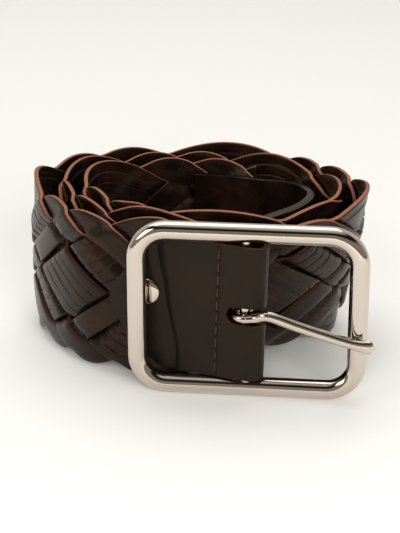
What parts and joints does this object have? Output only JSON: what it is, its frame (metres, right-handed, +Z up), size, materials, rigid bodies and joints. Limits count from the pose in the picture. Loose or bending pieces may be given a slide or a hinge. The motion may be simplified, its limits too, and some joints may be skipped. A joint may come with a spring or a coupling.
{
  "type": "braided belt",
  "caption": "Wide braided leather belt, coiled and standing on its edge, with a strap that folds round the centre bar of a rounded rectangular buckle.",
  "frame": {"origin": "on the floor, under the middle of the whole belt's box", "axes": "+Z up, the buckle faces -Y, the viewer's side, and the buckle's prong points to +X"},
  "size_m": [0.1306, 0.122, 0.064],
  "materials": {
    "braid_leather": "glossy",
    "strap_leather": "satin",
    "billet_leather": "satin",
    "buckle_metal": "polished",
    "rivet_metal": "polished"
  },
  "bodies": {
    "belt": {"wide_strand_1": "braid_leather", "narrow_strand_2": "braid_leather", "narrow_strand_3": "braid_leather", "wide_strand_4": "braid_leather", "narrow_strand_5": "braid_leather", "narrow_strand_6": "braid_leather", "buckle_strap": "strap_leather", "strap_rivet": "rivet_metal", "billet": "billet_leather", "billet_rivet": "rivet_metal"},
    "frame": {"buckle_frame": "buckle_metal"},
    "prong": {"prong": "buckle_metal"}
  },
  "joints": [
    {"name": "frame_pivot", "type": "hinge", "parent": "belt", "child": "frame", "pos_m": [0.0163, -0.04896, 0.032], "axis": [0, 0, 1], "range_deg": [0, 40]},
    {"name": "prong_hinge", "type": "hinge", "parent": "frame", "child": "prong", "pos_m": [0.0163, -0.04896, 0.032], "axis": [0, 0, -1], "range_deg": [0, 90]}
  ]
}
